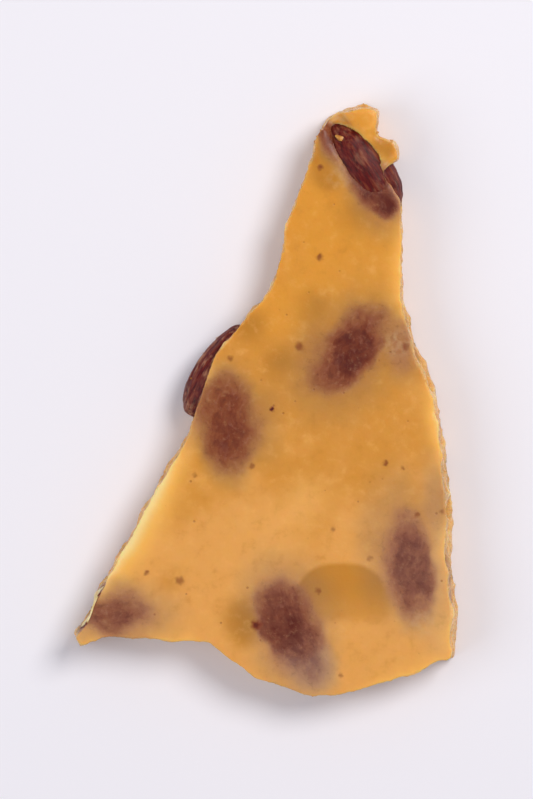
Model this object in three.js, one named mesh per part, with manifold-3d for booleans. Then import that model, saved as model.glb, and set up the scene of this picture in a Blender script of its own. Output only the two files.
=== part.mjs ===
// A broken piece of almond brittle: a slab of butter toffee set with whole and broken almonds.
// Millimetres, +Z up. The piece lies on its flat underside with its smooth side up, its long axis along Y.
// The origin is the centre of the bounding box, on the surface that the piece lies on.

import * as THREE from "three";
import { ImprovedNoise } from "three/addons/math/ImprovedNoise.js";
import { mergeVertices } from "three/addons/utils/BufferGeometryUtils.js";
import Module from "manifold-3d";

const wasm = await Module();
wasm.setup();
const perlin = new ImprovedNoise();

// ---- Driving dimensions ----

const THICKNESS = 7.6; // of the slab, flat underside to smooth side
const FIT_GAP = 0.3; // between an almond and the pocket that it sits in

// The broken outline seen from above, clockwise from the left end of the crest.
// [x, y, bow, lean]: bow is how far the stretch to the next corner bulges outwards at its middle,
// and lean is how far the broken side is drawn in at the top there, or at the bottom if negative.
const OUTLINE = [
  [8.3, 40.2, 0.3, 0.5],
  [13.9, 42.2, 0.2, 0.6],
  [16.1, 41.4, 0.1, 0.6],
  [15.9, 37.6, 0, 0.4], // notch between the two knobs of the crest
  [18.3, 36.8, 0.3, 0.5],
  [19.1, 34.2, 0.1, 0.2],
  [17.4, 33.3, 0, 0.1], // bite where the crest's almond shows at the side
  [16.7, 32.3, 0.1, 0.1],
  [19.3, 28.4, 0.1, 0.3],
  [19.6, 14.6, 0, 0.6],
  [21.3, 7.8, 0, 0.9],
  [24.7, 0.4, 0.2, 1.1],
  [25.9, -10.2, 0.1, 1.1],
  [26.7, -17.4, 0, 1.1],
  [26.4, -21, 0, 1.1],
  [27.5, -32.2, 0.1, 1.1],
  [26.9, -37.2, 0, 0.9], // right foot
  [24.3, -37.4, 0, 0.2],
  [13.5, -41, 0.2, -0.5],
  [6.7, -42.2, 1.1, -0.6], // lowest point of the bowed bottom edge
  [-8.1, -34.2, 0.1, -0.6],
  [-15.3, -33.8, 0, -0.5],
  [-23.3, -33.6, 0, -0.3],
  [-26.7, -35.6, 0, 0.6], // crumb at the left foot
  [-27.5, -33.6, 0, 0.6],
  [-25.2, -30.6, 0, 0.3],
  [-24.3, -27.8, 0.1, 0.5],
  [-10.7, -4.2, 0, 0.2],
  [-9.7, -0.6, 0.1, 0],
  [-7.3, 6.2, 0.1, -0.3],
  [-3.1, 11.2, 0, -0.4],
  [-1.7, 13.2, -0.1, 0],
  [-0.1, 14.2, -0.2, 0],
  [1.5, 17.8, 0.4, -0.2],
  [6.7, 34.2, 0, -0.2],
  [7.3, 37.4, 0, 0],
];
const OUTLINE_STEP = 1.8; // spacing of the points along the outline
const WALL_LEVELS = 7; // rings of points up the broken side
const WALL_OVERRUN = 1.2; // how far the wall runs past the underside and the smooth side before they cut it

// The broken side: a line that wanders, shell-like hollows that sweep along and up it, and crags.
const WANDER = { out: 0.2, length: 2.7 };
const SHELLS = { deep: 0.75, length: 10, rise: 5, warp: 1.6, warpLength: 9, atTop: 0.3 };
const CRAGS = { share: 0.45, length: 2.6, rise: 2.2 };
const LEAN_CURVE = 1.5; // how late on its way up or down the side begins to draw in

// The smooth side: slow waves and shorter ripples.
const WAVE = { high: 0.32, length: 13 };
const RIPPLE = { high: 0.11, length: 5 };
const SURFACE_STEP = 2.3; // spacing of its points
const SURFACE_WIDTH = 62; // it is made wider and longer than the slab, which the broken side cuts out of it
const SURFACE_LENGTH = 92;

// Flakes that broke off the smooth side at the crest: a groove that bares the almond there, and a
// bowl beside it. z is the height of a flake's middle, long, wide and high are its half sizes, and
// rough is how uneven it is, as a share of them.
const FLAKES = [
  { x: 11.9, y: 36.5, z: THICKNESS + 2.3, yaw: 124, long: 9.6, wide: 2.6, high: 4.2, rough: 0.06 },
  { x: 15.6, y: 37.6, z: THICKNESS + 1.3, yaw: 120, long: 6.6, wide: 4.2, high: 2, rough: 0.2 },
];
// Knobs of toffee left standing in the flakes.
const KNOBS = [
  { x: 14.5, y: 40.2, z: THICKNESS - 1.5, yaw: 100, long: 2.8, wide: 1.8, high: 1.7, rough: 0.25 },
  { x: 18.3, y: 35.4, z: THICKNESS - 1.6, yaw: 100, long: 2.3, wide: 1, high: 1.6, rough: 0.25 },
];

// Almonds. x, y: centre. z: height of the centre. yaw: direction of the pointed end, from +X.
// pitch: raises the pointed end. roll: turns it on its long axis. flush: broken off with the slab's side.
// split: a half, whose flat face is this far past its middle.
const ALMONDS = [
  // the one at the crest, bared by the groove and by the bite in the right side
  { x: 13.8, y: 32.9, z: 4.5, yaw: 124, pitch: 6, length: 15.4, width: 7.2, thick: 6.4 },
  // whole ones, pressed against the smooth side
  { x: 12.3, y: 7.6, z: 4.95, yaw: 50, pitch: 2, length: 14.5, width: 7.8, thick: 6.8 },
  { x: -4.7, y: -2.4, z: 4.85, yaw: 96, pitch: 0, length: 17.5, width: 7.8, thick: 7 },
  { x: 20.6, y: -22.8, z: 4.9, yaw: 104, pitch: 2, length: 18, width: 8.2, thick: 6.8 },
  { x: 3.9, y: -33, z: 4.9, yaw: 118, pitch: 3, length: 17.5, width: 8.6, thick: 7 },
  // one that the break cut through at the left foot
  { x: -21.4, y: -29.8, z: 4.9, yaw: 3, pitch: -3, length: 14.4, width: 6.8, thick: 6.8, flush: true },
  // a split one, lying on its edge in the broken left side, with its skin outwards
  { x: -7, y: 4.2, z: 3.7, yaw: 60, pitch: 0, roll: -84, length: 14.4, width: 6.2, thick: 5.4, split: 1.2 },
  // fragments low in the slab, by the right side
  { x: 18.4, y: 6.4, z: 2.2, yaw: 105, pitch: 0, length: 8, width: 3.8, thick: 5 },
  { x: 22.9, y: -11.2, z: 2.2, yaw: 98, pitch: 0, length: 9, width: 3.6, thick: 5 },
];
const LUMP_ROUND = 16; // faces round a flake or a knob
const LUMP_ALONG = 10; // and along it
const ALMOND_ROUND = 14; // faces round an almond
const ALMOND_ALONG = 10; // and along it
const UNEVEN = 0.1; // how far an almond strays from a regular shape, as a share of its radius
const DENTS = 1.4; // dents and bumps across the radius of an almond, a flake or a knob
// An almond's width along it, as a share of its middle's: wide at the blunt end, and the point
// narrows faster from a place between its middle (0) and its tip (1).
const TAPER = { middle: 1.02, narrowing: 0.2, point: 0.16, pointFrom: 0.5 };

// Small bites that the break took out of its edges. size is a bite's radius, and across, along and
// high are its shape. out and over are how far its middle is outside the edge, as shares of its size.
const CHIPS = 26;
const CHIP_SEED = 11;
const CHIP = { size: [0.5, 1.25], across: 0.8, along: [1, 1.9], high: 0.75, tilt: 0.5, out: 0.45, over: 0.15 };
const CHIPS_AT_TOP = 0.6; // the share of them in the upper edge

const TOFFEE = { color: 0xd9964a, roughness: 0.38, metalness: 0 };
const SKIN = { color: 0x6e382b, roughness: 0.6, metalness: 0 };

// ---- Helpers ----

const rad = THREE.MathUtils.degToRad;
const { smoothstep, lerp } = THREE.MathUtils;

// A closed geometry as a manifold-3d solid.
function solidOf(geometry) {
  const bare = geometry.clone();
  bare.deleteAttribute("normal");
  bare.deleteAttribute("uv");
  const merged = mergeVertices(bare, 1e-4);
  return new wasm.Manifold(
    new wasm.Mesh({
      numProp: 3,
      vertProperties: merged.attributes.position.array,
      triVerts: new Uint32Array(merged.index.array),
    }),
  );
}

function meshOf(solid, name, finish) {
  const made = solid.getMesh();
  const geometry = new THREE.BufferGeometry()
    .setAttribute("position", new THREE.BufferAttribute(made.vertProperties, made.numProp))
    .setIndex(new THREE.BufferAttribute(made.triVerts, 1));
  geometry.computeVertexNormals();
  const mesh = new THREE.Mesh(geometry, new THREE.MeshStandardMaterial(finish));
  mesh.name = name;
  return mesh;
}

// A repeatable random number from 0 to 1.
function randomFrom(seed) {
  let state = seed;
  return () => {
    state = (Math.imul(state, 1664525) + 1013904223) >>> 0;
    return state / 2 ** 32;
  };
}

function randomBetween(random, low, high) {
  return lerp(low, high, random());
}

// Moves each point of a geometry in or out from its middle by a share of its distance.
function roughen(geometry, share, seed) {
  const place = geometry.attributes.position;
  const point = new THREE.Vector3();
  for (let i = 0; i < place.count; i++) {
    point.fromBufferAttribute(place, i);
    const dent = perlin.noise(DENTS * point.x + seed, DENTS * point.y, DENTS * point.z);
    point.multiplyScalar(1 + share * dent);
    place.setXYZ(i, point.x, point.y, point.z);
  }
  return geometry;
}

// ---- The slab of toffee ----

// Height of the smooth side above the underside.
function smoothSide(x, y) {
  const wave = WAVE.high * perlin.noise(x / WAVE.length, y / WAVE.length, 3.1);
  return THICKNESS + wave + RIPPLE.high * perlin.noise(x / RIPPLE.length, y / RIPPLE.length, 7.7);
}

// Evenly spaced points round the outline, anticlockwise, each with its outward normal and its lean.
function outlinePoints() {
  const points = [];
  OUTLINE.forEach(([x, y, bow, lean], i) => {
    const [nextX, nextY, , nextLean] = OUTLINE[(i + 1) % OUTLINE.length];
    const length = Math.hypot(nextX - x, nextY - y);
    const steps = Math.max(1, Math.round(length / OUTLINE_STEP));
    for (let k = 0; k < steps; k++) {
      const t = k / steps;
      const bulge = 4 * t * (1 - t) * bow;
      points.push({
        x: lerp(x, nextX, t) - (bulge * (nextY - y)) / length,
        y: lerp(y, nextY, t) + (bulge * (nextX - x)) / length,
        lean: lerp(lean, nextLean, t),
      });
    }
  });
  points.reverse();
  const count = points.length;
  points.forEach((p, i) => {
    const before = points[(i + count - 2) % count];
    const after = points[(i + 2) % count];
    const length = Math.hypot(after.x - before.x, after.y - before.y);
    p.outX = (after.y - before.y) / length;
    p.outY = -(after.x - before.x) / length;
  });
  return points;
}

// Smooth noise over the plan, in lumps of a length; a different level is a different pattern.
function noiseAt(p, level, length) {
  return perlin.noise(p.x / length, p.y / length, level);
}

// How far the broken side stands out from the outline, at a point and a height.
function brokenRelief(p, z) {
  const wander = WANDER.out * (1 + noiseAt(p, 1.3, WANDER.length) + noiseAt(p, 5.2, 2 * WANDER.length));
  const warp = SHELLS.warp * noiseAt(p, z / SHELLS.warpLength, SHELLS.warpLength);
  const sweep = (p.x + p.y) / SHELLS.length + z / SHELLS.rise + warp;
  const shell = (2 * Math.abs(sweep - Math.round(sweep))) ** 1.5;
  const crags = CRAGS.share * noiseAt(p, z / CRAGS.rise, CRAGS.length);
  const up = THREE.MathUtils.clamp(z / THICKNESS, 0, 1);
  const deep = SHELLS.deep * lerp(1, SHELLS.atTop, smoothstep(up, 0.6, 1));
  const lean = p.lean > 0 ? p.lean * up ** LEAN_CURVE : -p.lean * (1 - up) ** LEAN_CURVE;
  return wander - deep * (shell + crags) - lean;
}

// The broken side as rings of points, closed by a flat face at each end.
function brokenWall(points) {
  const rings = [];
  for (let level = 0; level <= WALL_LEVELS; level++) {
    const z = lerp(-WALL_OVERRUN, THICKNESS + WALL_OVERRUN, level / WALL_LEVELS);
    rings.push(
      points.map((p) => {
        const out = brokenRelief(p, z);
        return new THREE.Vector3(p.x + p.outX * out, p.y + p.outY * out, z);
      }),
    );
  }
  const count = points.length;
  const faces = [];
  for (let level = 0; level < WALL_LEVELS; level++)
    for (let i = 0; i < count; i++) {
      const a = level * count + i;
      const b = level * count + ((i + 1) % count);
      faces.push(a, b, b + count, a, b + count, a + count);
    }
  const flat = (ring) => ring.map((v) => new THREE.Vector2(v.x, v.y));
  const top = WALL_LEVELS * count;
  for (const [a, b, c] of THREE.ShapeUtils.triangulateShape(flat(rings[WALL_LEVELS]), []))
    faces.push(top + a, top + b, top + c);
  for (const [a, b, c] of THREE.ShapeUtils.triangulateShape(flat(rings[0]), [])) faces.push(c, b, a);
  return new THREE.BufferGeometry().setFromPoints(rings.flat()).setIndex(faces);
}

// Everything between the underside and the smooth side, wider than the slab.
function layer() {
  const across = Math.round(SURFACE_WIDTH / SURFACE_STEP);
  const along = Math.round(SURFACE_LENGTH / SURFACE_STEP);
  const block = new THREE.BoxGeometry(SURFACE_WIDTH, SURFACE_LENGTH, THICKNESS, across, along, 1);
  const place = block.attributes.position;
  for (let i = 0; i < place.count; i++) {
    const above = place.getZ(i) > 0;
    place.setZ(i, above ? smoothSide(place.getX(i), place.getY(i)) : 0);
  }
  return solidOf(block);
}

// A rough lump of toffee, standing or broken out.
function lump({ x, y, z, yaw, long, wide, high, rough }) {
  const blob = roughen(new THREE.SphereGeometry(1, LUMP_ROUND, LUMP_ALONG), rough, 10 * yaw);
  blob.scale(long, wide, high);
  blob.rotateZ(rad(yaw));
  blob.translate(x, y, z);
  return solidOf(blob);
}

// A small pebble's shape, to cut out of an edge of the slab.
function chip(random, p) {
  const pebble = new THREE.IcosahedronGeometry(1, 0);
  const atTop = random() < CHIPS_AT_TOP;
  const size = lerp(...CHIP.size, random() ** 2);
  pebble.scale(size * CHIP.across, size * randomBetween(random, ...CHIP.along), size * CHIP.high);
  pebble.rotateX(randomBetween(random, -CHIP.tilt, CHIP.tilt));
  pebble.rotateZ(Math.atan2(p.outY, p.outX));
  const inset = p.lean > 0 === atTop ? Math.abs(p.lean) : 0;
  const out = size * CHIP.out - inset;
  const z = atTop ? smoothSide(p.x, p.y) + CHIP.over * size : -CHIP.over * size;
  pebble.translate(p.x + p.outX * out, p.y + p.outY * out, z);
  return solidOf(pebble);
}

function chips(points) {
  const random = randomFrom(CHIP_SEED);
  const made = [];
  for (let i = 0; i < CHIPS; i++) made.push(chip(random, points[Math.floor(random() * points.length)]));
  return made;
}

// ---- The almonds ----

// One almond lying along +X with its pointed end that way, grown by a margin on every side.
function almond({ x, length, width, thick, split }, margin = 0) {
  const kernel = new THREE.SphereGeometry(1, ALMOND_ROUND, ALMOND_ALONG);
  kernel.rotateZ(-Math.PI / 2);
  roughen(kernel, UNEVEN, x);
  const place = kernel.attributes.position;
  for (let i = 0; i < place.count; i++) {
    const u = place.getX(i);
    const taper = TAPER.middle - TAPER.narrowing * u - TAPER.point * smoothstep(u, TAPER.pointFrom, 1);
    place.setY(i, place.getY(i) * taper);
    place.setZ(i, place.getZ(i) * taper);
  }
  kernel.scale(length / 2 + margin, width / 2 + margin, thick / 2 + margin);
  if (split === undefined) return solidOf(kernel);
  const outerHalf = new THREE.BoxGeometry(2 * length, 2 * width, 2 * thick);
  outerHalf.translate(0, 0, thick - split - margin);
  return solidOf(kernel).intersect(solidOf(outerHalf));
}

function placed(solid, { x, y, z, yaw, pitch, roll = 0 }) {
  return solid.rotate([roll, -pitch, yaw]).translate([x, y, z]);
}

// ---- Putting it together ----

const points = outlinePoints();
const wall = solidOf(brokenWall(points));
const level = layer();
const almonds = [];
const pockets = [];
for (const spec of ALMONDS) {
  let kernel = placed(almond(spec), spec).intersect(level);
  if (spec.flush) kernel = kernel.intersect(wall);
  for (const pocket of pockets) kernel = kernel.subtract(pocket);
  almonds.push(kernel);
  pockets.push(placed(almond(spec, FIT_GAP), spec));
}

const flakes = FLAKES.map((flake) => KNOBS.reduce((left, knob) => left.subtract(lump(knob)), lump(flake)));
let slab = wall.intersect(level);
for (const cut of [...flakes, ...chips(points), ...pockets]) slab = slab.subtract(cut);
slab = slab.decompose().sort((a, b) => b.volume() - a.volume())[0]; // without the break's loose scraps

const brittle = new THREE.Group();
brittle.add(meshOf(slab, "toffee", TOFFEE));
almonds.forEach((kernel, i) => brittle.add(meshOf(kernel, `almond_${i + 1}`, SKIN)));

const bounds = new THREE.Box3().setFromObject(brittle);
const middle = bounds.getCenter(new THREE.Vector3());
brittle.position.set(-middle.x, -middle.y, -bounds.min.z);

export default brittle;
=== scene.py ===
"""The looks of a broken piece of almond brittle: satin butter toffee, with almonds showing through."""

import math
import random

import bmesh
import bpy
import numpy as np
from mathutils import Matrix, Vector, noise
from mathutils.bvhtree import BVHTree
from mathutils.kdtree import KDTree


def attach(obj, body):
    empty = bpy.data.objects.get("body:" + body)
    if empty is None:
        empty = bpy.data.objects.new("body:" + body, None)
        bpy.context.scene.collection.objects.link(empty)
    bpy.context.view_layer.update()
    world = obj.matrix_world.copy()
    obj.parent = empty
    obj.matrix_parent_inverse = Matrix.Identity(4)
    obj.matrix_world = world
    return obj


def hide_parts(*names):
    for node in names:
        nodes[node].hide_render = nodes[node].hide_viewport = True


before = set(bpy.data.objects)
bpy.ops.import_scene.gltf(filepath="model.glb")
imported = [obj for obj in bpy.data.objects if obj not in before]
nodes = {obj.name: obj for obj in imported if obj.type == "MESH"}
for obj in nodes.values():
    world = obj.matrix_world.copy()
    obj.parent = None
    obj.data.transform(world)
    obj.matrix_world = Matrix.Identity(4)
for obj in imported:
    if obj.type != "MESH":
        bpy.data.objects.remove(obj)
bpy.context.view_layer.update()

# ---- Sizes: millimetres, unless the name says otherwise ----

MM = 0.001  # in metres
WELD = 1e-6  # metres: CAD points closer than this are one point
TINY = 1e-9  # keeps a division from being by zero
VOXEL_SLAB = 0.3
VOXEL_ALMOND = 0.22
CLOSE_GAP = 0.36  # what an almond grows by, to close the CAD's gap round it

# The slab's remeshed skin is smoothed a little all over, and more round its upper edge and at the crest.
SMOOTHING = 2  # times, all over
ROUNDING = 8  # times more
EDGE_FROM = (6.2, 7.2)  # heights between which the rounding of the edge sets in
EDGE_ROUNDING = 0.8  # the share of the rounding that the edge gets
CREST = (13.5, 37.0, 9.0)  # where flakes broke off the smooth side: x, y, radius
CREST_SOFT = 1.5  # how wide the crest's blurred border is

# A point faces up or down by its normal's z, between these two bounds of not at all and wholly.
FACING = (0.45, 0.8)
TOP_WITHIN = (-0.5, -0.2)  # how far under the smooth side a point still belongs to it
UNDER_WITHIN = (0.6, 0.3)  # how high over the floor a point still belongs to the underside

BREAK_FROM = 0.02  # how broken a point is at least, to count for the broken sides' relief
BREAK_FADE = (0.1, 0.9)  # how broken it is where the relief sets in, and where it is whole

# Almonds wholly under the toffee, and those that show bare.
COVERED = ["almond_2", "almond_3", "almond_4", "almond_5", "almond_8", "almond_9"]
BARE = {"almond_1": "almond_crest", "almond_6": "almond_foot", "almond_7": "almond_side"}
FILM_LEFT = {"almond_1": 0.3, "almond_6": 0.3, "almond_7": 0.85}  # how much toffee still clings to each
BARE_CLEAR = (0.4, 1.4)  # the break's relief fades this close to a bare almond, to stay off it
FOOT_INSET = 0.4  # how far the toffee over the left foot's almond stops short of its broken end
FOOT_PROUD = 0.12  # how far that broken end stands out of the toffee
FOOT_FILM = 0.14  # how thick the toffee is that covers that end

# Dark patches where an almond lies close under the smooth side, and the haze round them. Each has
# its middle, half sizes, turn in degrees, softness (of its half sizes) and darkness. tone: 0 is
# red-brown, 1 is greyed by toffee over it, and 2 is a misty mauve; below 0 it outweighs what is greyer
# round it. crisp: the direction in which the almond rises, so that its patch ends sharply there.
PATCHES = [
    {"at": (16.1, 29.2), "long": 2.9, "wide": 1.8, "turn": 104, "soft": 0.75, "dark": 0.96, "tone": 0.3,
     "crisp": -60},
    {"at": (15.2, 29.0), "long": 5.0, "wide": 3.0, "turn": 114, "soft": 0.9, "dark": 0.32, "tone": 0.4},
    {"at": (18.2, 29.0), "long": 3.2, "wide": 0.9, "turn": 112, "soft": 0.9, "dark": 0.28, "tone": 2.0},
    {"at": (8.5, 37.6), "long": 3.0, "wide": 1.1, "turn": 100, "soft": 0.7, "dark": 0.7, "tone": 0.3},
    {"at": (12.0, 7.2), "long": 5.6, "wide": 3.0, "turn": 57, "soft": 0.65, "dark": 0.9, "tone": 0.2,
     "crisp": -33},
    {"at": (11.0, 6.6), "long": 8.0, "wide": 5.8, "turn": 52, "soft": 0.8, "dark": 0.34, "tone": 0.2},
    {"at": (19.4, 7.6), "long": 4.2, "wide": 2.2, "turn": 104, "soft": 0.9, "dark": 0.26, "tone": 1.0},
    {"at": (-5.5, -3.8), "long": 6.3, "wide": 3.5, "turn": 93, "soft": 0.65, "dark": 0.76, "tone": -0.4},
    {"at": (-9.9, -1.4), "long": 4.6, "wide": 1.7, "turn": 72, "soft": 0.9, "dark": 0.26, "tone": 1.0},
    {"at": (-5.6, 2.4), "long": 3.2, "wide": 2.4, "turn": 70, "soft": 0.8, "dark": 0.2, "tone": 0.8},
    {"at": (-0.9, -3.2), "long": 4.6, "wide": 2.4, "turn": 90, "soft": 0.9, "dark": 0.22, "tone": 0.1},
    {"at": (20.5, -23.9), "long": 6.8, "wide": 3.0, "turn": 96, "soft": 0.65, "dark": 0.52, "tone": 1.1,
     "crisp": 10},
    {"at": (18.6, -21.0), "long": 8.8, "wide": 4.4, "turn": 94, "soft": 0.75, "dark": 0.24, "tone": 0.7},
    {"at": (24.0, -26.0), "long": 8.6, "wide": 2.8, "turn": 94, "soft": 0.9, "dark": 0.14, "tone": 2.0},
    {"at": (2.9, -31.5), "long": 4.5, "wide": 3.6, "turn": 121, "soft": 0.65, "dark": 0.82, "tone": 0.4,
     "crisp": 220},
    {"at": (3.0, -30.1), "long": 7.6, "wide": 5.6, "turn": 112, "soft": 0.65, "dark": 0.28, "tone": 0.9},
    {"at": (5.7, -36.9), "long": 4.8, "wide": 3.0, "turn": 112, "soft": 0.7, "dark": 0.35, "tone": 2.0},
    {"at": (3.2, -37.8), "long": 4.8, "wide": 3.2, "turn": 160, "soft": 0.8, "dark": 0.16, "tone": 1.2},
    {"at": (-22.0, -30.2), "long": 4.1, "wide": 2.5, "turn": 3, "soft": 0.75, "dark": 0.41, "tone": 0.5,
     "crisp": 260},
    {"at": (-19.6, -30.8), "long": 5.8, "wide": 4.0, "turn": 6, "soft": 0.8, "dark": 0.28, "tone": 0.9},
    {"at": (-21.8, -26.8), "long": 2.8, "wide": 1.6, "turn": 10, "soft": 0.9, "dark": 0.12, "tone": 0.9},
    {"at": (-25.6, -32.4), "long": 2.8, "wide": 1.6, "turn": 40, "soft": 0.9, "dark": 0.18, "tone": 1.6},
    {"at": (24.6, -13.4), "long": 5.0, "wide": 2.2, "turn": 96, "soft": 0.8, "dark": 0.18, "tone": 1.6},
]
CRISPNESS = 0.6  # the share of the softness that goes on the crisp side
CRISP_FACING = 0.8  # how well a place faces the crisp side, as a cosine, to be wholly crisp
PATCH_WAVES = ((0.9, 4, 30), (0.45, 1.6, 40))  # what makes them uneven: how far, size of a wave, seed
# The patches shade what has more than this normal's z and height. From the second pair upwards they
# do so alone, but for the almond at the crest.
PATCH_OVER = (0.2, 5)
PATCH_ALONE = (0.5, 6)

# On the broken side and the underside an almond shows by its distance through the toffee.
SHADE_TOUCHING = 0.66  # where the toffee touches it
SHADE_FADING = 0.4  # less for each millimetre
SHADE_TONE = 0.4
SHADE_UNDER = (0.3, 1.9)  # how far under the smooth side it sets in, and where it is whole
CREST_FADING = 2.2  # how much faster it fades beside the crest's almond, on the side of the groove
CREST_FADING_AT = (0.5, -1.5)  # where across that almond this sets in, and where it is whole

# Brown specks in the toffee: x, y, radius, darkness. The darkest ones turn nearly black.
SPECKS = [
    (7.6, 33.1, 0.55, 0.8),
    (7.6, 20.4, 0.6, 0.8),
    (4.7, 7.8, 0.75, 0.7),
    (-5.1, 6.1, 0.5, 0.6),
    (0.9, -1.1, 0.45, 1.3),
    (16.9, -8.9, 0.5, 0.75),
    (19.4, -9.5, 0.4, 0.55),
    (-2.0, -9.2, 0.5, 0.6),
    (-10.2, -10.6, 0.5, 0.45),
    (9.4, -18.3, 0.45, 0.5),
    (14.7, -22.4, 0.5, 0.4),
    (-17.0, -24.4, 0.45, 0.7),
    (-12.3, -25.6, 0.7, 0.6),
    (7.4, -27.1, 0.55, 0.6),
    (-1.4, -31.9, 0.9, 1.15),
    (10.6, -39.1, 0.4, 0.5),
    (21.4, -16.2, 0.5, 0.6),
    (25.0, -15.7, 0.45, 0.5),
    (19.7, 7.8, 0.7, 0.6),
]
# A darker amber area under a sharp arc with a flat foot: middle of its foot, half width, height, and
# how square its shoulders are (2 is an ellipse).
DOME = {"at": (10.7, -31.0), "wide": 6.9, "high": 7.9, "square": 2.6}
DOME_BLUR = 0.05  # of its arc, as a share of its size
DOME_BLUR_RIGHT = 0.12  # more low down on its right
DOME_FOOT = (-1.2, 1.0)  # from which height to which it sets in
DOME_PALE = 0.65  # how strong it is at its foot; it is 1 from a share of its height upwards
DOME_FULL_FROM = 0.6
# Whitish, cloudy spots in the toffee: x, y, radius, strength.
FROST_PATCHES = [
    (10.4, 40.6, 2.6, 0.9),
    (10.4, 32.0, 2.6, 0.4),
    (18.6, 8.2, 3.0, 0.6),
    (22.0, -31.5, 3.0, 0.5),
]
# Broad changes of colour, partly the toffee's own uneven tone and partly painted light and shade,
# deeper in places on the left and paler towards the right edge: x, y, radius, and how much deeper the
# toffee is there, or paler if negative.
TONE_AND_SHADE_SPOTS = [
    (-2.4, 10.8, 4.6, 0.9),
    (1.0, 5.5, 4.5, 0.6),
    (6.5, 13.6, 5.0, 0.6),
    (16.5, 36.2, 3.5, 1.0),
    (-20.0, -24.5, 6.0, 0.2),
    (-13.5, -25.5, 4.0, 0.5),
    (-3.2, -31.0, 5.8, 0.9),
    (-3.4, -34.4, 3.2, 0.3),
    (12.5, 26.5, 6.0, 0.6),
    (7.8, 33.4, 5.0, 1.0),
    (9.0, 31.0, 2.6, 0.7),
    (3.0, 6.0, 3.6, 0.3),
    (15.5, -20.0, 3.5, 0.3),
    (1.0, -19.0, 11.0, -0.3),
    (6.0, -13.5, 6.0, -0.45),
    (19.0, -12.0, 4.5, 0.4),
    (22.0, 1.0, 5.0, -0.3),
    (26.5, -7.5, 4.0, -0.9),
    (27.5, -20.0, 5.5, -0.9),
    (28.0, -33.0, 6.5, -0.9),
]
# How strongly the smooth side's edge gets a painted glow, standing for light that comes through its
# thin toffee: everywhere, and round some places x, y, radius, how much more or less.
PAINTED_GLOW = 0.4
PAINTED_GLOW_SPOTS = [
    (-18.5, -17.0, 17.0, 0.75),
    (1.5, 23.0, 16.0, -0.6),
    (-5.0, 9.0, 7.0, -0.45),
    (-12.0, -4.0, 5.0, -0.2),
    (19.5, 18.0, 7.0, 0.15),
    (21.5, 6.5, 6.5, -0.7),
    (25.2, -3.0, 5.0, 0.35),
    (26.2, -13.0, 6.0, -0.35),
    (27.0, -28.0, 8.0, -0.2),
    (6.0, -41.5, 11.0, -0.6),
    (-6.0, -36.0, 7.0, -0.4),
    (-20.0, -34.0, 6.0, -0.6),
    (12.0, 41.5, 6.0, -0.3),
    (18.5, 36.5, 4.0, -0.4),
    (6.5, 37.0, 5.0, -0.6),
]
GLOW_REACH = (0.8, 1.5)  # how far in the weakest glow reaches, and how much farther the strongest
GLOW_EDGE = 0.55  # the broken side counts as the edge down to this far under the smooth side
GLOW_FACING = (0.15, 0.45)  # it needs a normal's z of the first, and is whole at the second
GLOW_UNDER = (1.4, 0.6)  # the glow ends this far under the smooth side, and is whole this far under it

# The bare almonds: their skin's wrinkles run along them, and the foot's broken end bares its kernel.
WRINKLES = ((0.07, 1.0, 5), (0.06, 0.55, 9))  # how high, how far apart, seed
WRINKLE_LEVEL = 0.06  # how far the skin lies under the wrinkles' middle height
WRINKLE_STRETCH = 0.16  # how wide a wrinkle is for each millimetre of its length
KERNEL_FROM = (0.4, 0.7)  # how far from the toffee the skin ends, and where the kernel is wholly bare
KERNEL_GRAIN = ((0.1, 1.2, 17), (0.04, 0.5, 18))  # how high, size of a lump, seed
SKIN_SMOOTHING = 6  # times


def srgb(red, green, blue):
    """A colour of a screen, 0 to 255, as Blender's linear colour."""
    return tuple(
        c / 12.92 if c <= 0.04045 else ((c + 0.055) / 1.055) ** 2.4
        for c in (red / 255, green / 255, blue / 255)
    ) + (1.0,)


# What the studio's light makes of a surface on the smooth side, for red, green and blue: its
# brightness, and the sheen added to it.
STUDIO_LIGHT = (0.915, 0.835, 0.852)
STUDIO_SHEEN = (0.033, 0.025, 0.0224)


def seen(red, green, blue):
    """The surface colour that shows as the given colour of a screen in the studio's light."""
    shown = srgb(red, green, blue)
    return tuple(
        max(shown[i] - STUDIO_SHEEN[i], 0.0005) / STUDIO_LIGHT[i] for i in range(3)
    ) + (1.0,)


NECK = seen(222, 150, 62)
BODY = seen(214, 145, 67)
LOW = seen(227, 160, 89)
DEEP = seen(194, 128, 52)
PALE = seen(240, 178, 106)
# The darker amber inside the dome.
DOME_AMBER = seen(198, 131, 54)
BROKEN = seen(228, 172, 106)
# Painted shade for the hollows of the broken sides, and a painted highlight for their crests.
BROKEN_PAINTED_SHADE = seen(198, 132, 64)
BROKEN_PAINTED_HIGHLIGHT = seen(244, 202, 142)
BUBBLE = seen(206, 152, 112)
# Painted highlight and painted glow for the smooth side's edge, where light comes through the thin
# toffee.
PAINTED_EDGE_HIGHLIGHT = seen(253, 212, 152)
PAINTED_EDGE_GLOW = seen(246, 182, 96)
FROST = seen(210, 170, 130)
SPECK = seen(132, 60, 26)
SPECK_DARK = seen(70, 44, 30)
SKIN_DARK = seen(72, 30, 25)
SKIN_MID = seen(104, 44, 35)
SKIN_LIGHT = seen(142, 78, 56)
FILM = seen(182, 124, 96)
CHIP = seen(210, 148, 80)
CHIP_DEEP = seen(184, 116, 52)
KERNEL = seen(236, 212, 168)
KERNEL_DEEP = seen(222, 184, 124)
FLECK_LIGHT = seen(166, 106, 84)
FLECK_DARK = seen(88, 40, 33)
FLOOR = srgb(243, 240, 246)

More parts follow.
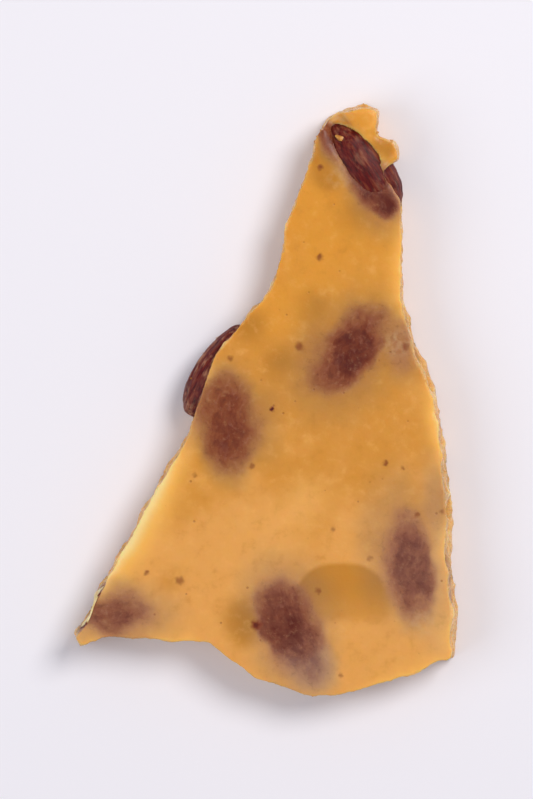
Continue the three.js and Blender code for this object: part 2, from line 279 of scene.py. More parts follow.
# An almond's colours through the toffee, from hidden (0) to its skin right under the surface (1).
RED_SHADES = [
    (0.0, BODY),
    (0.15, seen(197, 136, 70)),
    (0.30, seen(178, 120, 72)),
    (0.42, seen(164, 105, 67)),
    (0.56, seen(152, 89, 59)),
    (0.74, seen(137, 73, 50)),
    (0.88, seen(122, 60, 44)),
    (1.0, seen(108, 51, 40)),
]
GREY_SHADES = [
    (0.0, BODY),
    (0.15, seen(197, 137, 76)),
    (0.30, seen(178, 121, 82)),
    (0.44, seen(162, 105, 79)),
    (0.56, seen(148, 93, 74)),
    (0.74, seen(128, 77, 65)),
    (1.0, seen(100, 52, 44)),
]
MISTY_SHADES = [
    (0.0, BODY),
    (0.15, seen(198, 142, 88)),
    (0.30, seen(178, 130, 98)),
    (0.44, seen(162, 115, 95)),
    (0.57, seen(147, 102, 89)),
    (1.0, seen(110, 68, 60)),
]

# ---- Mesh helpers ----


def points_of(mesh):
    """Every point of a mesh, in millimetres."""
    flat = np.empty(len(mesh.vertices) * 3)
    mesh.vertices.foreach_get("co", flat)
    return flat.reshape(-1, 3) / MM


def move_points(mesh, points):
    mesh.vertices.foreach_set("co", (points * MM).ravel())
    mesh.update()


def normals_of(mesh):
    flat = np.empty(len(mesh.vertices) * 3)
    mesh.vertex_normals.foreach_get("vector", flat)
    return flat.reshape(-1, 3)


def edges_of(mesh):
    flat = np.empty(len(mesh.edges) * 2, int)
    mesh.edges.foreach_get("vertices", flat)
    return flat.reshape(-1, 2)


def smoothed(values, edges, times):
    """Values of a mesh's points, each drawn halfway to the mean of its neighbours, times over."""
    a, b = edges.T
    around = np.bincount(edges.ravel(), minlength=len(values)).reshape([-1] + [1] * (values.ndim - 1))
    for _ in range(times):
        total = np.zeros_like(values)
        np.add.at(total, a, values[b])
        np.add.at(total, b, values[a])
        values = values + 0.5 * (total / around - values)
    return values


def step(value, low, high):
    """0 below low, 1 above high, and smooth between them; low may be the larger."""
    t = np.clip((value - low) / (high - low), 0, 1)
    return t * t * (3 - 2 * t)


def seeded(points, size, seed):
    """Where noise of a size and a seed is read for each point."""
    shift = Vector((seed, 2.3 * seed, -1.7 * seed))
    return [Vector(p) + shift for p in points / size]


def noise_at(points, size, seed):
    """Smooth noise from about -1 to 1 at each point, whose lumps are about size across."""
    return np.array([noise.noise(place) for place in seeded(points, size, seed)])


def ridges_at(points, size, seed):
    """Sharp-crested ridges, from 0 in the hollows to 1 on the crests."""
    return 1 - 2 * np.abs(noise_at(points, size, seed))


def scoops_at(points, size, seed):
    """Bowls about size across that meet in sharp crests, from 0 in the bowls to 1 on the crests."""
    nearest = [noise.voronoi(place)[0][0] for place in seeded(points, size, seed)]
    return np.clip(nearest, 0, 1) ** 2


def store(mesh, name, values):
    """Keeps a number for each point, for the material to read."""
    mesh.attributes.new(name, "FLOAT", "POINT").data.foreach_set("value", values.astype(np.float32))


def linked(name, data):
    """A new object of a mesh, a camera or a light, in the scene."""
    made = bpy.data.objects.new(name, data)
    bpy.context.scene.collection.objects.link(made)
    return made


def copy_of(name, parts):
    """A new object from CAD nodes, each grown by its margin. parts: node to (margin, shift along X)."""
    joined = bmesh.new()
    for node, (margin, shift) in parts.items():
        part = bmesh.new()
        part.from_mesh(nodes[node].data)
        bmesh.ops.remove_doubles(part, verts=part.verts, dist=WELD)
        part.normal_update()
        for vertex in part.verts:
            vertex.co += vertex.normal * margin * MM + Vector((shift * MM, 0, 0))
        held = bpy.data.meshes.new("held")
        part.to_mesh(held)
        part.free()
        joined.from_mesh(held)
        bpy.data.meshes.remove(held)
    mesh = bpy.data.meshes.new(name)
    joined.to_mesh(mesh)
    joined.free()
    return linked(name, mesh)


def remesh(made, voxel):
    """Turns an object's joined shells into one even skin."""
    modifier = made.modifiers.new("skin", "REMESH")
    modifier.mode = "VOXEL"
    modifier.voxel_size = voxel * MM
    bpy.context.view_layer.update()
    ready = made.evaluated_get(bpy.context.evaluated_depsgraph_get())
    mesh = bpy.data.meshes.new_from_object(ready)
    made.modifiers.clear()
    made.data = mesh
    mesh.shade_smooth()
    return mesh


def finish_piece(made, material, replaced):
    """Gives a piece its material and body, and hides the CAD nodes it replaces."""
    made.data.materials.clear()
    made.data.materials.append(material)
    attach(made, "root")
    if replaced:
        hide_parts(*replaced)


# ---- What the CAD says ----


class SmoothSide:
    """The height of the slab's smooth side, read off the CAD's top faces and smoothed over the plan."""

    CELL = 1.0  # of the grid that keeps it
    BLUR = 1.7
    BORDER = 3  # how far the grid goes past the slab
    LOWEST = 7.1  # faces lower than this aren't of the smooth side
    FACING_UP = 0.96  # nor are steeper ones

    def __init__(self):
        found = []
        for node in ["toffee", "almond_6", *COVERED]:
            mesh = nodes[node].data
            for face in mesh.polygons:
                if face.normal.z > self.FACING_UP and face.center.z > self.LOWEST * MM:
                    found.append(np.array(face.center) / MM)
        found = np.array(found)
        low, high = found[:, :2].min(0), found[:, :2].max(0)
        self.start = low - self.BORDER
        self.count = np.ceil((high - low + 2 * self.BORDER) / self.CELL).astype(int) + 1
        across = self.start[0] + self.CELL * np.arange(self.count[0])
        along = self.start[1] + self.CELL * np.arange(self.count[1])
        plan = np.stack(np.meshgrid(across, along, indexing="ij"), -1).reshape(-1, 1, 2)
        gap = ((plan - found[None, :, :2]) ** 2).sum(-1)
        gap -= gap.min(1, keepdims=True)
        weight = np.exp(-gap / (2 * self.BLUR**2))
        self.height = ((weight * found[:, 2]).sum(1) / weight.sum(1)).reshape(self.count)

    def at(self, points):
        """The smooth side's height over each point."""
        place = (points[:, :2] - self.start) / self.CELL
        cell = np.clip(place.astype(int), 0, self.count - 2)
        x, y = (place - cell).T
        i, j = cell.T
        near = self.height[i, j] * (1 - y) + self.height[i, j + 1] * y
        far = self.height[i + 1, j] * (1 - y) + self.height[i + 1, j + 1] * y
        return near * (1 - x) + far * x


class Solid:
    """A solid of the CAD: its middle, its own axes, and how near it comes to any point."""

    def __init__(self, node):
        mesh = nodes[node].data
        points = points_of(mesh)
        self.middle = (points.min(0) + points.max(0)) / 2
        spread = np.linalg.eigh(np.cov((points - points.mean(0)).T))[1]
        axis = spread[:, 2] * (1 if spread[1, 2] >= 0 else -1)
        side = np.cross([0, 0, 1], axis)
        side /= np.linalg.norm(side)
        self.axes = np.array([axis, side, np.cross(axis, side)])
        self.half_length = np.abs((points - self.middle) @ axis).max()
        self.tree = BVHTree.FromPolygons(
            [v.co / MM for v in mesh.vertices], [list(f.vertices) for f in mesh.polygons]
        )

    def own(self, points):
        """Points in the solid's own axes: along it, across it and up."""
        return (points - self.middle) @ self.axes.T

    def gap(self, points):
        """How far each point is from the solid's skin."""
        return np.array([self.tree.find_nearest(Vector(p))[3] for p in points])


# ---- The slab of toffee ----


def make_slab(side):
    """The slab in one skin with its covered almonds, with the relief of its break and all its looks."""
    parts = {"toffee": (0, 0)}
    parts.update({node: (CLOSE_GAP, 0) for node in COVERED})
    parts["almond_6"] = (CLOSE_GAP, FOOT_INSET)
    slab = copy_of("toffee_slab", parts)
    mesh = remesh(slab, VOXEL_SLAB)
    edges = edges_of(mesh)
    points = smoothed(points_of(mesh), edges, SMOOTHING)
    away = np.hypot(points[:, 0] - CREST[0], points[:, 1] - CREST[1])
    crest = step(away, CREST[2], CREST[2] - CREST_SOFT)
    rounder = smoothed(points, edges, ROUNDING)
    edge = step(points[:, 2], *EDGE_FROM) * EDGE_ROUNDING
    points += np.maximum(crest, edge)[:, None] * (rounder - points)
    move_points(mesh, points)

    # The smooth side is laid exactly on its height, and the underside on the floor.
    normals = normals_of(mesh)
    height = side.at(points)
    above = points[:, 2] - height
    level = step(normals[:, 2], *FACING)
    on_top = level * step(above, *TOP_WITHIN)
    points[:, 2] -= on_top * (1 - crest) * above
    points[:, 2] = np.minimum(points[:, 2], np.where(level > 0, height, np.inf))
    under = step(-normals[:, 2], *FACING) * step(points[:, 2], *UNDER_WITHIN)
    points[:, 2] *= 1 - under
    points[:, 2] = np.maximum(points[:, 2], 0)

    broken = 1 - np.maximum(np.maximum(on_top, under), crest * level)
    broken = smoothed(broken, edges, times=1)
    relief, raised = break_relief(points, broken)
    for node in BARE:
        relief *= step(almonds[node].gap(points), *BARE_CLEAR)
    points += normals * relief[:, None]
    points[:, 2] = np.clip(points[:, 2], 0, np.where(crest > 0, np.inf, side.at(points)))
    move_points(mesh, points)
    store(mesh, "raised", raised)
    store_looks(mesh, points, normals, broken, edges, side)
    return slab


def bites_at(points, size, seed):
    """Scattered patches about size across, from 0 outside them to 1 inside."""
    return step(noise_at(points, size, seed), 0.25, 0.5)


# The layers of the broken sides' relief. Each has its form, the size of one lump, how much of its
# length is left upwards, its seed, the height that is level with the CAD's side, how far its 1 stands
# out over its 0 (or in, if negative), and how much it counts as raised, for the colour: painted shade
# where it is low, and a painted highlight where it is high.
BREAK_LAYERS = [
    (scoops_at, 3.3, 0.7, 3, 0.3, 0.5, 0.6),  # bowls
    (scoops_at, 1.5, 0.85, 23, 0.3, 0.26, 0.4),  # chips
    (noise_at, 1.3, 1, 7, 0, 0.1, 0.06),  # crags
    (noise_at, 0.6, 1, 11, 0, 0.05, 0),  # grain
    (bites_at, 1.7, 1, 19, 0, -0.2, -0.15),
]


def break_relief(points, broken):
    """How far the break's relief moves each point outwards, and how raised it is there, from 0 to 1."""
    moved = np.zeros(len(points))
    raised = np.zeros(len(points))
    near = broken > BREAK_FROM
    place = points[near]
    for form, size, squash, seed, level, out, shows in BREAK_LAYERS:
        height = form(place * [1, 1, squash], size, seed)
        moved[near] += out * (height - level)
        raised[near] += shows * height
    return moved * step(broken, *BREAK_FADE), raised


def store_looks(mesh, points, normals, broken, edges, side):
    """Everything that the toffee's material reads off the mesh."""
    shade, tone, own = shade_of(points, normals, side)
    store(mesh, "shade", smoothed(shade, edges, times=1))
    store(mesh, "tone", smoothed(tone, edges, times=4))
    along = mesh.attributes.new("nut_place", "FLOAT_VECTOR", "POINT")
    along.data.foreach_set("vector", own.astype(np.float32).ravel())
    # How much of the dome's darker amber shows.
    store(mesh, "clear", dome_amber_of(points) * (normals[:, 2] > 0.5))
    store(mesh, "frost", spots_of(points, FROST_PATCHES, hard=0.3))
    # Deeper and paler spots: partly the toffee's own tone, partly painted light and shade.
    store(mesh, "deeper_tone_and_shade", spots_of(points, TONE_AND_SHADE_SPOTS, hard=0))
    store(mesh, "broken", broken)
    # A painted glow along the smooth side's edge.
    store(mesh, "painted_edge_glow", painted_edge_glow_of(points, normals, broken, side))


def shade_of(points, normals, side):
    """How dark the almonds make each point, the tone there, and the point's place on its almond."""
    shade = np.zeros(len(points))
    tone = np.zeros(len(points))
    own = np.zeros_like(points)
    down = side.at(points) - points[:, 2]

    def darken(chosen, values, its_tone, places):
        """Lays another almond's shade over the chosen points."""
        darker = values > shade[chosen]
        own[chosen[darker]] = places[darker]
        tone[chosen] = (tone[chosen] * shade[chosen] ** 2 + its_tone * values**2) / (
            shade[chosen] ** 2 + values**2 + TINY
        )
        shade[chosen] = 1 - (1 - shade[chosen]) * (1 - values)

    for node, nut in almonds.items():
        reach = SHADE_TOUCHING / SHADE_FADING
        near = np.flatnonzero(((points - nut.middle) ** 2).sum(1) < (nut.half_length + reach) ** 2)
        at_crest = node == "almond_1"
        if not at_crest:
            near = near[(normals[near, 2] < PATCH_ALONE[0]) | (points[near, 2] < PATCH_ALONE[1])]
        place = nut.own(points[near])
        fading = SHADE_FADING * (1 + CREST_FADING * step(place[:, 1], *CREST_FADING_AT) * at_crest)
        values = np.clip(SHADE_TOUCHING - fading * nut.gap(points[near]), 0, 1)
        if node in COVERED:
            values *= step(down[near], *SHADE_UNDER)
        darken(near, values, SHADE_TONE, place)

    top = np.flatnonzero((normals[:, 2] > PATCH_OVER[0]) & (points[:, 2] > PATCH_OVER[1]))
    wavy = points[top].copy()
    for axis in (0, 1):
        for far, size, seed in PATCH_WAVES:
            wavy[:, axis] += far * noise_at(points[top], size, seed + axis)
    for patch in PATCHES:
        turn = math.radians(patch["turn"])
        dx, dy = (wavy[:, :2] - patch["at"]).T
        along = dx * math.cos(turn) + dy * math.sin(turn)
        across = dy * math.cos(turn) - dx * math.sin(turn)
        away = np.hypot(along / patch["long"], across / patch["wide"])
        soft = np.full(len(top), patch["soft"])
        if "crisp" in patch:
            rise = math.radians(patch["crisp"])
            facing = (dx * math.cos(rise) + dy * math.sin(rise)) / (np.hypot(dx, dy) + TINY)
            soft *= 1 - CRISPNESS * step(facing, 0, CRISP_FACING)
        values = patch["dark"] * step(away, 1 + soft, 1 - soft)
        darken(top, values, patch["tone"], np.stack([along, across, 0 * along], 1))
    return shade, tone, own


def dome_amber_of(points):
    """How much of the darker amber shows: 1 inside the dome, with a sharp arc and a softer foot."""
    x, y = (points[:, :2] - DOME["at"]).T
    square = DOME["square"]
    away = np.abs(x / DOME["wide"]) ** square + np.abs(np.maximum(y, 0) / DOME["high"]) ** square
    away = away ** (1 / square)
    blur = DOME_BLUR + DOME_BLUR_RIGHT * step(x, 1, 6) * step(y, 6, 2)
    strength = DOME_PALE + (1 - DOME_PALE) * step(y, 0, DOME_FULL_FROM * DOME["high"])
    return step(away, 1 + blur, 1 - blur) * step(y, *DOME_FOOT) * strength


def spots_of(points, spots, hard):
    """The sum of soft round spots. hard: the share of the radius at full strength."""
    total = np.zeros(len(points))
    for x, y, radius, strength in spots:
        total += strength * step(np.hypot(points[:, 0] - x, points[:, 1] - y), radius, hard * radius)
    return total


def painted_edge_glow_of(points, normals, broken, side):
    """How much painted glow each point gets: most on the smooth side's edge, falling to 0 a little way
    in.
    """
    edge = np.flatnonzero((broken > 0.5) & (points[:, 2] > side.at(points) - GLOW_EDGE))
    tree = KDTree(len(edge))
    for i in edge:
        tree.insert((points[i, 0], points[i, 1], 0), int(i))
    tree.balance()
    inside = np.zeros(len(points))
    for i in np.flatnonzero((broken <= 0.5) & (normals[:, 2] > 0.3)):
        inside[i] = tree.find((points[i, 0], points[i, 1], 0))[2]
    strength = np.clip(PAINTED_GLOW + spots_of(points, PAINTED_GLOW_SPOTS, hard=0), 0, 1)
    reach = GLOW_REACH[0] + GLOW_REACH[1] * strength
    shown = step(normals[:, 2], *GLOW_FACING) * step(side.at(points) - points[:, 2], *GLOW_UNDER)
    return shown * strength * np.exp(-inside / reach)


# ---- The bare almonds ----


def make_almond(node, name, side):
    """An almond with its wrinkled skin, in its own axes, grown to fill its pocket."""
    nut = almonds[node]
    foot = node == "almond_6"
    made = copy_of(name, {node: (FOOT_PROUD if foot else CLOSE_GAP, 0)})
    mesh = remesh(made, VOXEL_ALMOND)
    edges = edges_of(mesh)
    points = smoothed(points_of(mesh), edges, SMOOTHING if foot else SKIN_SMOOTHING)
    if foot:
        points[:, 2] = np.minimum(points[:, 2], side.at(points) - FOOT_FILM)
    move_points(mesh, points)
    normals = normals_of(mesh)
    kernel = np.zeros(len(points))
    if foot:
        kernel = step(Solid("toffee").gap(points), *KERNEL_FROM)
    stretched = nut.own(points) * [WRINKLE_STRETCH, 1, 1]
    wrinkles = sum(high * ridges_at(stretched, size, seed) for high, size, seed in WRINKLES)
    wrinkles -= WRINKLE_LEVEL
    crumbly = sum(high * noise_at(points, size, seed) for high, size, seed in KERNEL_GRAIN)
    points += normals * (wrinkles + kernel * (crumbly - wrinkles))[:, None]
    turn = Matrix(nut.axes.tolist()).transposed().to_4x4()
    made.matrix_world = Matrix.Translation(Vector(nut.middle * MM)) @ turn
    move_points(mesh, nut.own(points))
    store(mesh, "kernel", kernel)
    store(mesh, "film", np.full(len(points), FILM_LEFT[node]))
    return made


# ---- Crumbs ----


CRUMB_SEED = 5
CRUMB_CORNERS = 11
CRUMB_SHAPE = ((0.8, 1.3), (0.6, 1), (0.45, 0.7))  # bounds along its three axes, for a size of 1
CRUMB_TILT = 0.6  # radians, at most
CRUMB_BEVEL = 0.04
LARGEST_CRUMB = (10.5, 37.2, 7.0, 0.75)  # on the crest's almond: x, y, z, size

# Those on the almond on its edge: rays from outside it find its skin.
SKIN_CRUMBS = 16  # rays
SKIN_CRUMB_SIZES = (0.14, 0.42)
RAY_ALONG = 0.75  # of half the almond's length, to either side
RAY_HEIGHTS = (-1, 3.5)  # from its middle
RAY_FROM = (-5, 3)  # x and y from its middle
RAY_WAY = (0.866, -0.5, 0)
SKIN_SEAT = (-0.25, 0.15, 0)  # from the skin to a crumb's middle

# Those round the crest: on points that are more broken than this, past this y and over this z.
CREST_CRUMBS = {"count": 26, "sizes": (0.12, 0.36), "broken": 0.6, "y": 36, "z": 5}


def make_crumbs(slab):
    """Chips of toffee stuck to the bare almonds and to the crest's break."""
    draw = random.Random(CRUMB_SEED)
    joined = bmesh.new()
    for place, size in crumb_places(slab, draw):
        turn = Matrix.Rotation(draw.uniform(0, math.pi), 3, "Z")
        turn = turn @ Matrix.Rotation(draw.uniform(0, CRUMB_TILT), 3, "X")
        shape = Vector([draw.uniform(*bounds) for bounds in CRUMB_SHAPE])
        corners = []
        for _ in range(CRUMB_CORNERS):
            way = Vector([draw.gauss(0, 1) for _ in range(3)]).normalized()
            corners.append(joined.verts.new(turn @ (way * shape * size * MM) + Vector(place) * MM))
        hull = bmesh.ops.convex_hull(joined, input=corners)
        inner = [part for part in hull["geom_interior"] if isinstance(part, bmesh.types.BMVert)]
        bmesh.ops.delete(joined, geom=inner, context="VERTS")
    bmesh.ops.bevel(joined, geom=joined.edges[:], offset=CRUMB_BEVEL * MM, segments=1, affect="EDGES")
    mesh = bpy.data.meshes.new("toffee_crumbs")
    joined.to_mesh(mesh)
    joined.free()
    return linked("toffee_crumbs", mesh)


def crumb_places(slab, draw):
    """Where the crumbs sit, and how big they are: on the side almond's skin and round the crest."""
    skin = almonds["almond_7"]
    found = [(LARGEST_CRUMB[:3], LARGEST_CRUMB[3])]
    for _ in range(SKIN_CRUMBS):
        along = draw.uniform(-RAY_ALONG, RAY_ALONG) * skin.half_length
        outside = np.array([*RAY_FROM, draw.uniform(*RAY_HEIGHTS)])
        start = Vector(skin.middle + along * skin.axes[0] + outside)
        hit = skin.tree.ray_cast(start, Vector(RAY_WAY))[0]
        if hit is not None:
            found.append((hit + Vector(SKIN_SEAT), draw.uniform(*SKIN_CRUMB_SIZES)))
    points = points_of(slab.data)
    broken = np.empty(len(points))
    slab.data.attributes["broken"].data.foreach_get("value", broken)
    told = CREST_CRUMBS
    crest = (broken > told["broken"]) & (points[:, 1] > told["y"]) & (points[:, 2] > told["z"])
    crest = np.flatnonzero(crest)
    for _ in range(told["count"]):
        found.append((points[crest[draw.randrange(len(crest))]], draw.uniform(*told["sizes"])))
    return found


# ---- Materials ----


class Look:
    """A material whose nodes are added by short calls. A value is a number, a colour or a socket."""

    def __init__(self, name):
        self.material = bpy.data.materials.new(name)
        self.material.use_nodes = True
        self.tree = self.material.node_tree
        self.shader = self.tree.nodes["Principled BSDF"]

    def feed(self, socket, value):
        """Sets a socket, or links it when the value is itself a socket."""
        if isinstance(value, bpy.types.NodeSocket):
            self.tree.links.new(value, socket)
        else:
            socket.default_value = value

    def set(self, **values):
        """Sets the shader's own sockets."""
        for name, value in values.items():
            self.feed(self.shader.inputs[name.replace("_", " ").title().replace("Ior", "IOR")], value)

    def node(self, kind, values, **settings):
        """A new node. values: its sockets by name or number. settings: its own properties."""
        made = self.tree.nodes.new(kind)
        for name, value in settings.items():
            setattr(made, name, value)
        for name, value in values.items():
            self.feed(made.inputs[name], value)
        return made

    def attribute(self, name, output="Fac"):
        return self.node("ShaderNodeAttribute", {}, attribute_name=name).outputs[output]

    def normal(self):
        return self.node("ShaderNodeNewGeometry", {}).outputs["Normal"]

    def place(self, stretch=(1, 1, 1)):
        """The point's place on the piece, in millimetres, stretched along each axis."""
        at = self.node("ShaderNodeTexCoord", {}).outputs["Object"]
        return self.scaled(at, [s / MM for s in stretch])

    def vector(self, operation, a, b, output="Vector"):
        return self.node("ShaderNodeVectorMath", {0: a, 1: b}, operation=operation).outputs[output]

    def scaled(self, vector, by):
        return self.vector("MULTIPLY", vector, by)

    def noise(self, place, size, detail=2.0, rough=0.5, warp=0.0):
        values = {"Vector": place, "Scale": 1 / size, "Detail": detail}
        values.update({"Roughness": rough, "Distortion": warp})
        return self.node("ShaderNodeTexNoise", values).outputs["Fac"]

    def cells(self, place, size):
        """Distance to the nearest of scattered points, in cells."""
        return self.node("ShaderNodeTexVoronoi", {"Vector": place, "Scale": 1 / size}).outputs["Distance"]

    def math(self, operation, a, b, c=0.0):
        return self.node("ShaderNodeMath", {0: a, 1: b, 2: c}, operation=operation).outputs[0]

    def remap(self, value, low, high, to_low=0.0, to_high=1.0):
        """to_low where the value is low, to_high where it is high, and smooth between them."""
        values = {"Value": value, "From Min": low, "From Max": high, "To Min": to_low, "To Max": to_high}
        return self.node("ShaderNodeMapRange", values, interpolation_type="SMOOTHSTEP").outputs["Result"]

    def mix(self, factor, a, b):
        """Colour a where the factor is 0, and b where it is 1."""
        made = self.node("ShaderNodeMix", {}, data_type="RGBA")
        for index, value in ((0, factor), (6, a), (7, b)):
            self.feed(made.inputs[index], value)
        return made.outputs[2]

    def ramp(self, factor, stops):
        """A colour by the factor. stops: (factor, colour)."""
        made = self.node("ShaderNodeValToRGB", {"Fac": factor})
        elements = made.color_ramp.elements
        for index, (position, colour) in enumerate(stops):
            element = elements[index] if index < 2 else elements.new(position)
            element.position = position
            element.color = colour
        return made.outputs["Color"]

    def bump(self, *layers):
        """Layers of relief: (height socket, depth in millimetres)."""
        normal = None
        for height, depth in layers:
            values = {"Height": height, "Strength": 1.0, "Distance": depth * MM}
            if normal:
                values["Normal"] = normal
            normal = self.node("ShaderNodeBump", values).outputs["Normal"]
        self.feed(self.shader.inputs["Normal"], normal)


# Between which y the bare toffee's colour changes along the piece, and how far that wavers.
LOW_TO_BODY = (-22, -2)
BODY_TO_NECK = (4, 24)
WAVER = 9.0


def toffee_colour(look, at):
    """Bare toffee: oranger in the neck, paler low down, cloudy all over."""
    height = look.node("ShaderNodeSeparateXYZ", {"Vector": at}).outputs["Y"]
    clouds = look.noise(at, 9, detail=3)
    height = look.math("ADD", height, look.remap(clouds, 0.25, 0.75, -WAVER, WAVER))
    colour = look.mix(look.remap(height, *LOW_TO_BODY), LOW, BODY)
    colour = look.mix(look.remap(height, *BODY_TO_NECK), colour, NECK)
    # Deeper and paler spots: partly the toffee's own tone, partly painted light and shade.
    deeper_tone_and_shade = look.attribute("deeper_tone_and_shade")
    colour = look.mix(look.remap(deeper_tone_and_shade, 0, 1), colour, DEEP)
    colour = look.mix(look.remap(deeper_tone_and_shade, 0, -1), colour, PALE)
    mottle = look.noise(at, 2.0, detail=5, rough=0.62)
    colour = look.mix(look.remap(mottle, 0.5, 0.8, 0.0, 0.4), colour, DEEP)
    return look.mix(look.remap(mottle, 0.5, 0.2, 0.0, 0.4), colour, PALE)


def almond_through(look, toffee, at):
    """The dark shapes of almonds under their film of toffee."""
    shade = look.attribute("shade")
    nut = look.attribute("nut_place", "Vector")
    streaks = look.noise(look.scaled(nut, (0.4, 1, 1)), 1.2, detail=3, rough=0.55)
    streaks = look.remap(streaks, 0.3, 0.7, -0.09, 0.09)
    wave = look.remap(look.noise(at, 2.2, detail=3, rough=0.6), 0.3, 0.7, -0.11, 0.11)
    rough = look.math("ADD", streaks, wave)
    shade = look.math("MULTIPLY_ADD", rough, look.remap(shade, 0.1, 0.85), shade)
    tone = look.attribute("tone")
    red = look.ramp(shade, RED_SHADES)
    shape = look.mix(look.remap(tone, 0, 1), red, look.ramp(shade, GREY_SHADES))
    shape = look.mix(look.remap(tone, 1, 2), shape, look.ramp(shade, MISTY_SHADES))
    flecks = look.noise(look.scaled(nut, (0.6, 1, 1)), 1.0, detail=3, rough=0.6, warp=0.4)
    core = look.remap(shade, 0.25, 0.65)
    light = look.math("MULTIPLY", look.remap(flecks, 0.5, 0.75, 0.0, 0.45), core)
    shape = look.mix(light, shape, FLECK_LIGHT)
    dark = look.math("MULTIPLY", look.remap(flecks, 0.5, 0.3, 0.0, 0.3), core)
    shape = look.mix(dark, shape, FLECK_DARK)
    # Fine bubbles cloud the toffee round an almond.
    grains = look.noise(at, 0.8, detail=3, rough=0.65)
    near = look.remap(shade, 0.1, 0.35)
    light = look.math("MULTIPLY", look.remap(grains, 0.52, 0.76, 0.0, 0.2), near)
    shape = look.mix(light, shape, BUBBLE)
    dark = look.math("MULTIPLY", look.remap(grains, 0.46, 0.28, 0.0, 0.24), near)
    shape = look.mix(dark, shape, FLECK_DARK)
    # The fainter the shape, the more it follows the toffee's own colour there.
    own = look.vector("SUBTRACT", toffee, BODY[:3])
    faint = look.remap(shade, 0.6, 0.0)
    own = look.node("ShaderNodeVectorMath", {0: own, "Scale": faint}, operation="SCALE").outputs[0]
    return look.vector("ADD", shape, own)


def specks(look, at):
    """How much of each point is a brown speck."""
    wobble = look.node("ShaderNodeTexNoise", {"Vector": at, "Scale": 1.3, "Detail": 1.0}).outputs["Color"]
    wobble = look.vector("SUBTRACT", wobble, (0.5, 0.5, 0.5))
    flat = look.vector("ADD", look.scaled(at, (1, 1, 0)), look.scaled(wobble, (0.8, 0.8, 0)))
    total = 0.0
    for x, y, radius, dark in SPECKS:
        away = look.vector("DISTANCE", flat, (x, y, 0), "Value")
        total = look.math("ADD", look.remap(away, 1.2 * radius, 0.2 * radius, 0.0, dark), total)
    facing = look.node("ShaderNodeSeparateXYZ", {"Vector": look.normal()}).outputs["Z"]
    return look.math("MULTIPLY", total, look.remap(facing, 0.4, 0.7))


def pores(look, at):
    """How much of each point is one of the tiny pores that dot the toffee."""
    dots = look.remap(look.cells(at, 1.9), 0.13, 0.05)
    return look.math("MULTIPLY", dots, look.remap(look.noise(at, 3.1, detail=1), 0.5, 0.6))


def toffee_material():
    """The slab's toffee: bare, darker amber under the dome, cloudy and broken, with what shows through
    it.
    """
    look = Look("toffee")
    at = look.place()
    pored = pores(look, at)
    colour = toffee_colour(look, at)
    # The dome's darker amber.
    colour = look.mix(look.math("MULTIPLY", look.attribute("clear"), 0.9), colour, DOME_AMBER)
    broken = look.attribute("broken")
    chalk = look.noise(at, 1.2, detail=4, rough=0.65)
    pale = look.math("MULTIPLY", broken, look.remap(chalk, 0.25, 0.7, 0.25, 0.95))
    colour = look.mix(pale, colour, BROKEN)
    # Painted shade in the hollows of the break's relief, and a painted highlight on its crests.
    raised = look.attribute("raised")
    painted_hollow_shade = look.math("MULTIPLY", broken, look.remap(raised, 0.3, 0.05, 0.0, 0.6))
    colour = look.mix(painted_hollow_shade, colour, BROKEN_PAINTED_SHADE)
    crests = look.math("MULTIPLY", broken, look.remap(raised, 0.4, 0.75, 0.0, 0.8))
    colour = look.mix(crests, colour, BROKEN_PAINTED_HIGHLIGHT)
    # A painted glow and a painted highlight along the smooth side's edge, for light coming through its
    # thin toffee.
    painted_edge_glow = look.attribute("painted_edge_glow")
    colour = look.mix(look.remap(painted_edge_glow, 0.0, 0.55, 0.0, 0.9), colour, PAINTED_EDGE_GLOW)
    colour = look.mix(look.remap(painted_edge_glow, 0.4, 0.9, 0.0, 0.85), colour, PAINTED_EDGE_HIGHLIGHT)
    colour = almond_through(look, colour, at)
    cloudy = look.remap(look.noise(at, 0.9, detail=2), 0.35, 0.7, 0.0, 0.55)
    colour = look.mix(look.math("MULTIPLY", look.attribute("frost"), cloudy), colour, FROST)
    colour = look.mix(look.math("MULTIPLY", pored, 0.4), colour, SPECK)
    speck = specks(look, at)
    colour = look.mix(speck, colour, SPECK)
    colour = look.mix(look.remap(speck, 0.8, 1.5, 0.0, 0.9), colour, SPECK_DARK)
    rough = look.remap(look.noise(at, 1.5, detail=3), 0.3, 0.7, 0.36, 0.5)
    rough = look.math("MULTIPLY_ADD", broken, -0.14, rough)
    look.set(
        base_color=colour,
        roughness=rough,
        specular_ior_level=0.35,
        subsurface_weight=0.8,
        subsurface_radius=(1.0, 0.5, 0.2),
        subsurface_scale=0.9 * MM,
    )
    pits = look.remap(look.cells(at, 0.9), 0.0, 0.4)
    fine_pits = look.remap(look.cells(at, 0.42), 0.0, 0.45)
    look.bump(
        (look.noise(at, 4, detail=2), 0.1),
        (look.noise(at, 0.4, detail=3), 0.018),
        (look.math("MULTIPLY", pored, -1), 0.05),
        (look.math("MULTIPLY", pits, broken), 0.16),
        (look.math("MULTIPLY", fine_pits, broken), 0.07),
    )
    return look.material


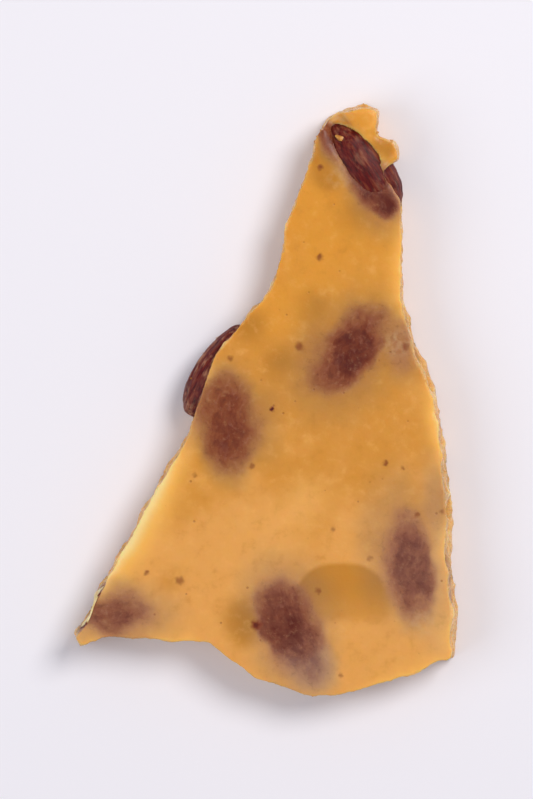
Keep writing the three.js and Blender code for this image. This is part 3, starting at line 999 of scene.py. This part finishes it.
def skin_material():
    """An almond's streaky skin with toffee clinging to it, and its kernel where that is bared."""
    look = Look("almond_skin")
    at = look.place()
    streaks = look.noise(look.place((0.16, 1, 1)), 0.5, detail=4, rough=0.6)
    colour = look.ramp(streaks, [(0.32, SKIN_DARK), (0.52, SKIN_MID), (0.76, SKIN_LIGHT)])
    film = look.noise(look.place((0.3, 1, 1)), 0.6, detail=4, rough=0.6)
    film = look.math("MULTIPLY", look.remap(film, 0.42, 0.7), look.attribute("film"))
    film = look.math("MULTIPLY", film, look.remap(look.noise(at, 3, detail=1), 0.42, 0.56, 0.15, 1.0))
    colour = look.mix(film, colour, FILM)
    flesh = look.mix(look.remap(look.noise(at, 0.8, detail=4), 0.35, 0.7), KERNEL, KERNEL_DEEP)
    colour = look.mix(look.attribute("kernel"), colour, flesh)
    look.set(
        base_color=colour,
        roughness=0.5,
        specular_ior_level=0.25,
        subsurface_weight=0.15,
        subsurface_radius=(1.0, 0.4, 0.2),
        subsurface_scale=0.5 * MM,
    )
    look.bump((streaks, 0.09), (film, 0.06), (look.noise(at, 0.25, detail=3), 0.03))
    return look.material


def crumb_material():
    look = Look("toffee_crumb")
    at = look.place()
    colour = look.mix(look.remap(look.noise(at, 0.9), 0.35, 0.65), CHIP, CHIP_DEEP)
    look.set(
        base_color=colour,
        roughness=0.4,
        subsurface_weight=0.3,
        subsurface_radius=(1.0, 0.7, 0.5),
        subsurface_scale=0.1 * MM,
    )
    look.bump((look.noise(at, 0.2, detail=3), 0.03))
    return look.material


def floor_material():
    look = Look("floor")
    look.set(base_color=FLOOR, roughness=0.8)
    return look.material


# ---- The studio ----

FLOOR_HALF = 3.0  # metres
FLOOR_HEIGHT = -0.00005  # metres: just off the underside
CAMERA_PLACE = Vector((0.006, 0.046, 0.755))  # metres
CAMERA_LENS = 238  # long side of the view: 36
CAMERA_TARGET = Vector((0.0, 0.0, 0.004))
CAMERA_NEAR = 0.01  # metres

# The lights: places and sizes in metres. All face the middle.
LIGHTS = {
    "key": {"place": (0.35, 0.3, 0.6), "size": 0.35, "power": 3.4, "colour": (1, 0.985, 0.96)},
    "fill": {"place": (-0.5, -0.1, 0.45), "size": 0.5, "power": 1.4, "colour": (0.97, 0.98, 1)},
}
SKY = (0.93, 0.93, 1.0, 1)
SKY_STRENGTH = 0.38


def looking(place, target, up):
    """A matrix that puts something at place, facing target, with up in its view."""
    back = (place - target).normalized()
    right = up.cross(back).normalized()
    turn = Matrix((right, back.cross(right), back)).transposed()
    return Matrix.Translation(place) @ turn.to_4x4()


def make_camera():
    data = bpy.data.cameras.new("camera")
    data.lens = CAMERA_LENS
    data.clip_start = CAMERA_NEAR
    camera = linked("camera", data)
    camera.matrix_world = looking(CAMERA_PLACE, CAMERA_TARGET, Vector((0, 1, 0)))
    bpy.context.scene.camera = camera


def add_light(name, place, size, power, colour):
    data = bpy.data.lights.new(name, "AREA")
    data.shape = "DISK"
    data.size = size
    data.energy = power
    data.color = colour
    linked(name, data).matrix_world = looking(Vector(place), Vector((0, 0, 0)), Vector((0, 1, 0.1)))


def make_studio():
    """The floor, the lights and the sky."""
    mesh = bpy.data.meshes.new("floor")
    corners = [(x * FLOOR_HALF, y * FLOOR_HALF, 0) for x, y in ((-1, -1), (1, -1), (1, 1), (-1, 1))]
    mesh.from_pydata(corners, [], [(0, 1, 2, 3)])
    mesh.materials.append(floor_material())
    floor = linked("floor", mesh)
    floor.location.z = FLOOR_HEIGHT
    for name, light in LIGHTS.items():
        add_light(name, **light)
    world = bpy.data.worlds.new("studio")
    world.use_nodes = True
    sky = world.node_tree.nodes["Background"]
    sky.inputs["Color"].default_value = SKY
    sky.inputs["Strength"].default_value = SKY_STRENGTH
    bpy.context.scene.world = world
    bpy.context.scene.view_settings.view_transform = "Standard"


# ---- Putting it together ----

smooth_side = SmoothSide()
almonds = {node: Solid(node) for node in [*COVERED, *BARE]}
slab = make_slab(smooth_side)
finish_piece(slab, toffee_material(), ["toffee", *COVERED])
skin = skin_material()
for node, name in BARE.items():
    finish_piece(make_almond(node, name, smooth_side), skin, [node])
finish_piece(make_crumbs(slab), crumb_material(), [])
make_studio()
make_camera()
